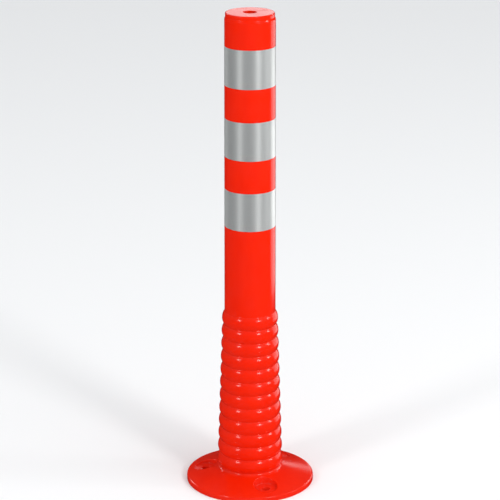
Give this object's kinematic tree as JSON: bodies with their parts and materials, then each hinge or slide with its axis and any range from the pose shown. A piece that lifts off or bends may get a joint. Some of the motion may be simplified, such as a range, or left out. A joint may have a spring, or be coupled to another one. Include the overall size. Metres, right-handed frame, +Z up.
{
  "type": "delineator post",
  "caption": "Flexible road delineator post with a ribbed bending section, silver reflective bands and a round bolt-down foot.",
  "frame": {"origin": "centre of the foot's underside, on the road surface", "axes": "+Z up along the post, -Y towards the front, +X to the right as seen from the front"},
  "size_m": [0.2, 0.2, 0.75],
  "materials": {
    "elastomer": "gloss",
    "reflective_sheet": "satin"
  },
  "bodies": {
    "foot": {"foot": "elastomer", "flex_ring_01": "elastomer"},
    "rib_02": {"flex_ring_02": "elastomer"},
    "rib_03": {"flex_ring_03": "elastomer"},
    "rib_04": {"flex_ring_04": "elastomer"},
    "rib_05": {"flex_ring_05": "elastomer"},
    "rib_06": {"flex_ring_06": "elastomer"},
    "rib_07": {"flex_ring_07": "elastomer"},
    "rib_08": {"flex_ring_08": "elastomer"},
    "rib_09": {"flex_ring_09": "elastomer"},
    "rib_10": {"flex_ring_10": "elastomer"},
    "rib_11": {"flex_ring_11": "elastomer"},
    "rib_12": {"flex_ring_12": "elastomer"},
    "post": {"post_tube": "elastomer", "upper_band": "reflective_sheet", "middle_band": "reflective_sheet", "lower_band": "reflective_sheet"}
  },
  "joints": [
    {"name": "right_bend_01", "type": "hinge", "parent": "foot", "child": "rib_02", "pos_m": [0, 0, 0.04733], "axis": [0.7071, 0.7071, 0], "range_deg": [-12, 12], "stiffness_Nm_per_rad": 180, "deforming": ["flex_ring_01", "flex_ring_02"]},
    {"name": "left_bend_02", "type": "hinge", "parent": "rib_02", "child": "rib_03", "pos_m": [0, 0, 0.06867], "axis": [0.7071, -0.7071, 0], "range_deg": [-12, 12], "stiffness_Nm_per_rad": 175, "deforming": ["flex_ring_02", "flex_ring_03"]},
    {"name": "right_bend_03", "type": "hinge", "parent": "rib_03", "child": "rib_04", "pos_m": [0, 0, 0.09], "axis": [0.7071, 0.7071, 0], "range_deg": [-12, 12], "stiffness_Nm_per_rad": 169, "deforming": ["flex_ring_03", "flex_ring_04"]},
    {"name": "left_bend_04", "type": "hinge", "parent": "rib_04", "child": "rib_05", "pos_m": [0, 0, 0.11133], "axis": [0.7071, -0.7071, 0], "range_deg": [-12, 12], "stiffness_Nm_per_rad": 164, "deforming": ["flex_ring_04", "flex_ring_05"]},
    {"name": "right_bend_05", "type": "hinge", "parent": "rib_05", "child": "rib_06", "pos_m": [0, 0, 0.13267], "axis": [0.7071, 0.7071, 0], "range_deg": [-12, 12], "stiffness_Nm_per_rad": 158, "deforming": ["flex_ring_05", "flex_ring_06"]},
    {"name": "left_bend_06", "type": "hinge", "parent": "rib_06", "child": "rib_07", "pos_m": [0, 0, 0.154], "axis": [0.7071, -0.7071, 0], "range_deg": [-12, 12], "stiffness_Nm_per_rad": 153, "deforming": ["flex_ring_06", "flex_ring_07"]},
    {"name": "right_bend_07", "type": "hinge", "parent": "rib_07", "child": "rib_08", "pos_m": [0, 0, 0.17533], "axis": [0.7071, 0.7071, 0], "range_deg": [-12, 12], "stiffness_Nm_per_rad": 147, "deforming": ["flex_ring_07", "flex_ring_08"]},
    {"name": "left_bend_08", "type": "hinge", "parent": "rib_08", "child": "rib_09", "pos_m": [0, 0, 0.19667], "axis": [0.7071, -0.7071, 0], "range_deg": [-12, 12], "stiffness_Nm_per_rad": 142, "deforming": ["flex_ring_08", "flex_ring_09"]},
    {"name": "right_bend_09", "type": "hinge", "parent": "rib_09", "child": "rib_10", "pos_m": [0, 0, 0.218], "axis": [0.7071, 0.7071, 0], "range_deg": [-12, 12], "stiffness_Nm_per_rad": 136, "deforming": ["flex_ring_09", "flex_ring_10"]},
    {"name": "left_bend_10", "type": "hinge", "parent": "rib_10", "child": "rib_11", "pos_m": [0, 0, 0.23933], "axis": [0.7071, -0.7071, 0], "range_deg": [-12, 12], "stiffness_Nm_per_rad": 131, "deforming": ["flex_ring_10", "flex_ring_11"]},
    {"name": "right_bend_11", "type": "hinge", "parent": "rib_11", "child": "rib_12", "pos_m": [0, 0, 0.26067], "axis": [0.7071, 0.7071, 0], "range_deg": [-12, 12], "stiffness_Nm_per_rad": 125, "deforming": ["flex_ring_11", "flex_ring_12"]},
    {"name": "left_bend_12", "type": "hinge", "parent": "rib_12", "child": "post", "pos_m": [0, 0, 0.282], "axis": [0.7071, -0.7071, 0], "range_deg": [-12, 12], "stiffness_Nm_per_rad": 120, "deforming": ["flex_ring_12"]}
  ]
}
